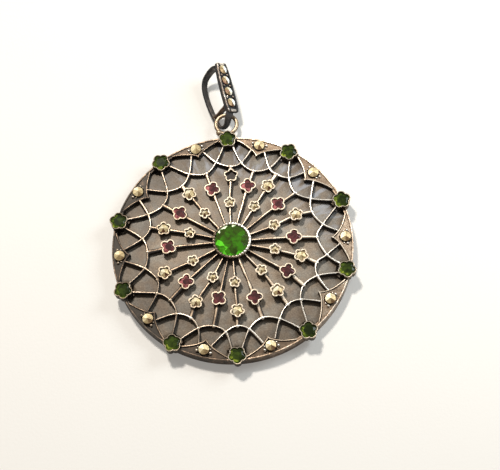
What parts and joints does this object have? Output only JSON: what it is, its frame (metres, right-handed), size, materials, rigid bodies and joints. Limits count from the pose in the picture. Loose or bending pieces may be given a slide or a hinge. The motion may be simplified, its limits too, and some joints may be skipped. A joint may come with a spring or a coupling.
{
  "type": "medallion pendant",
  "caption": "Round domed openwork pendant over a back plate, set with green, red and pale stones, with a small hanging ring and a loose bail.",
  "frame": {"origin": "centre of the flat foot ring on the back, where the medallion rests", "axes": "+Z out of the front, +Y from the centre towards the hanging ring and bail"},
  "size_m": [0.0422, 0.0569, 0.0053],
  "materials": {
    "openwork_silver": "oxidised silver, bright on the worn edges",
    "plate_silver": "mottled, tarnished silver, matt",
    "bail_silver": "oxidised silver, polished inside",
    "green_stone": "faceted, clear",
    "dark_green_stone": "faceted, clear, over dark metal",
    "red_stone": "faceted, clear",
    "marcasite": "faceted pyrite, metallic lustre"
  },
  "bodies": {
    "root": {"openwork_frame": "openwork_silver", "back_plate": "plate_silver", "bail": "bail_silver", "centre_stone": "green_stone", "rim_stone_1": "dark_green_stone", "rim_stone_2": "dark_green_stone", "rim_stone_3": "dark_green_stone", "rim_stone_4": "dark_green_stone", "rim_stone_5": "dark_green_stone", "rim_stone_6": "dark_green_stone", "rim_stone_7": "dark_green_stone", "rim_stone_8": "dark_green_stone", "rim_stone_9": "dark_green_stone", "rim_stone_10": "dark_green_stone", "rim_marcasite_1": "marcasite", "rim_marcasite_2": "marcasite", "rim_marcasite_3": "marcasite", "rim_marcasite_4": "marcasite", "rim_marcasite_5": "marcasite", "rim_marcasite_6": "marcasite", "rim_marcasite_7": "marcasite", "rim_marcasite_8": "marcasite", "rim_marcasite_9": "marcasite", "rim_marcasite_10": "marcasite", "red_stone_1": "red_stone", "red_stone_2": "red_stone", "red_stone_3": "red_stone", "red_stone_4": "red_stone", "red_stone_5": "red_stone", "red_stone_6": "red_stone", "red_stone_7": "red_stone", "red_stone_8": "red_stone", "red_stone_9": "red_stone", "red_stone_10": "red_stone", "outer_marcasite_2": "marcasite", "outer_marcasite_3": "marcasite", "outer_marcasite_4": "marcasite", "outer_marcasite_5": "marcasite", "outer_marcasite_6": "marcasite", "outer_marcasite_7": "marcasite", "outer_marcasite_8": "marcasite", "outer_marcasite_9": "marcasite", "outer_marcasite_10": "marcasite", "inner_marcasite_1": "marcasite", "inner_marcasite_2": "marcasite", "inner_marcasite_3": "marcasite", "inner_marcasite_4": "marcasite", "inner_marcasite_5": "marcasite", "inner_marcasite_6": "marcasite", "inner_marcasite_7": "marcasite", "inner_marcasite_8": "marcasite", "inner_marcasite_9": "marcasite", "inner_marcasite_10": "marcasite", "bail_marcasite_1": "marcasite", "bail_marcasite_2": "marcasite", "bail_marcasite_3": "marcasite", "bail_marcasite_4": "marcasite"}
  },
  "joints": []
}
